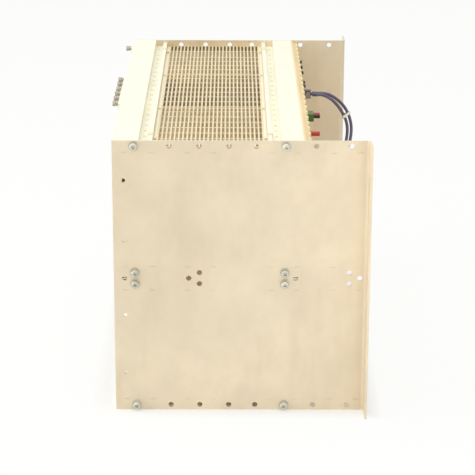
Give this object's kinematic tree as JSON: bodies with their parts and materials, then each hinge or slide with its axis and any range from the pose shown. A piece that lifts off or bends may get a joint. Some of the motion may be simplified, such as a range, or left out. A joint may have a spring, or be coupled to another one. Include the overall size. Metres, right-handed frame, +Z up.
{
  "type": "subrack card cage",
  "caption": "Six-unit 19-inch subrack card cage with vented covers, two bays of board guides, backplanes, rear mounting flanges and plug-in modules in the upper bay.",
  "frame": {"origin": "middle of the base: centre of the bounding box in X and Y, at the height of the bottom rails' flush faces", "axes": "+X across the width to the right as seen from the board side, +Y from the board side to the rear flanges, +Z up"},
  "size_m": [0.4826, 0.2468, 0.2659],
  "materials": {
    "side_plate": "clear passivated sheet, fine cloudy texture",
    "rail": "matt anodised extrusion",
    "cover": "clear passivated sheet",
    "threaded_strip": "zinc plated",
    "rail_screw": "zinc plated, dulled",
    "washer": "zinc plated",
    "clip": "bright spring steel",
    "guide": "moulded, matt",
    "insulation": "laminate strip",
    "backplane": "glass epoxy laminate",
    "backplane_screw": "bright",
    "connector": "moulded, matt",
    "front_panel": "matt anodised",
    "captive_screw": "nickel plated, knurled",
    "board": "solder resist",
    "holder": "die cast",
    "transformer": "potted block",
    "relay": "moulded case",
    "capacitor": "sleeved",
    "green_plastic": "moulded",
    "red_plastic": "moulded",
    "black_plastic": "moulded",
    "tinned": "tinned",
    "terminal_sleeve": "insulated crimp",
    "wire": "smooth insulation",
    "tie": "nylon"
  },
  "bodies": {
    "root": {"side_plate_right": "side_plate", "side_plate_left": "side_plate", "front_rail_top": "rail", "front_rail_upper_mid": "rail", "front_rail_lower_mid": "rail", "front_rail_bottom": "rail", "rear_rail_top": "rail", "rear_rail_upper_mid": "rail", "rear_rail_lower_mid": "rail", "rear_rail_bottom": "rail", "front_threaded_strips": "threaded_strip", "rear_threaded_strips": "threaded_strip", "rail_screws_right": "rail_screw", "rail_screws_left": "rail_screw", "rail_washers_right": "washer", "rail_washers_left": "washer", "top_cover": "cover", "bottom_cover": "cover", "top_cover_clips": "clip", "bottom_cover_clips": "clip", "upper_bay_top_guides": "guide", "upper_bay_bottom_guides": "guide", "lower_bay_top_guides": "guide", "lower_bay_bottom_guides": "guide", "insulating_strips": "insulation", "upper_backplane": "backplane", "lower_backplane": "backplane", "upper_backplane_screws": "backplane_screw", "lower_backplane_screws": "backplane_screw", "upper_slot_connectors": "connector", "lower_slot_connectors": "connector", "module_connectors": "connector", "module_front_panels": "front_panel", "captive_screws": "captive_screw", "module_boards": "board", "module_board_holders": "holder", "module_transformers": "transformer", "module_relays": "relay", "filter_capacitors": "capacitor", "terminal_block": "green_plastic", "terminal_plug_red": "red_plastic", "insulated_terminal_red": "red_plastic", "terminal_plug_black": "black_plastic", "upper_power_tab": "tinned", "lower_power_tab": "tinned", "upper_terminal_screw": "tinned", "lower_terminal_screw": "tinned", "upper_ring_terminals": "terminal_sleeve", "lower_ring_terminals": "terminal_sleeve", "power_wire_outer": "wire", "power_wire_inner": "wire", "cable_tie": "tie"}
  },
  "joints": []
}
